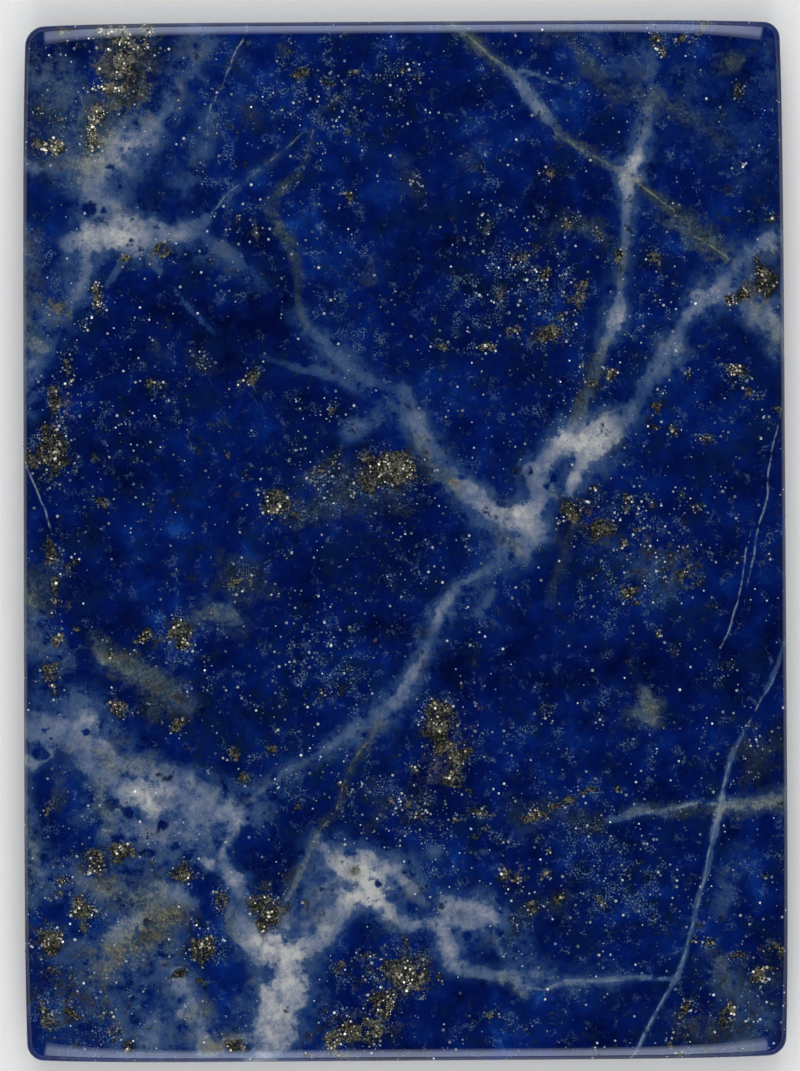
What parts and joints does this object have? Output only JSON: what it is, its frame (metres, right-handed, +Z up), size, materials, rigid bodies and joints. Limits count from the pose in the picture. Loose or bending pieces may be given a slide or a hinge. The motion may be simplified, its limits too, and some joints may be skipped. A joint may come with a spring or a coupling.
{
  "type": "polished lapis lazuli slab",
  "caption": "Flat rectangular slab of deep blue stone with pale veins and brassy specks, polished, with softly rounded rims; lies flat on its base as a sample, tile or paperweight.",
  "frame": {"origin": "middle of the flat base on the surface it rests on", "axes": "+Z up out of the polished face, +Y along the long side towards the top of the picture, +X along the short side to the right"},
  "size_m": [0.0764, 0.1042, 0.01],
  "materials": {
    "lapis": "polished, deep blue with grey-white calcite veins and brassy pyrite specks"
  },
  "bodies": {
    "root": {"lapis_slab": "lapis"}
  },
  "joints": []
}
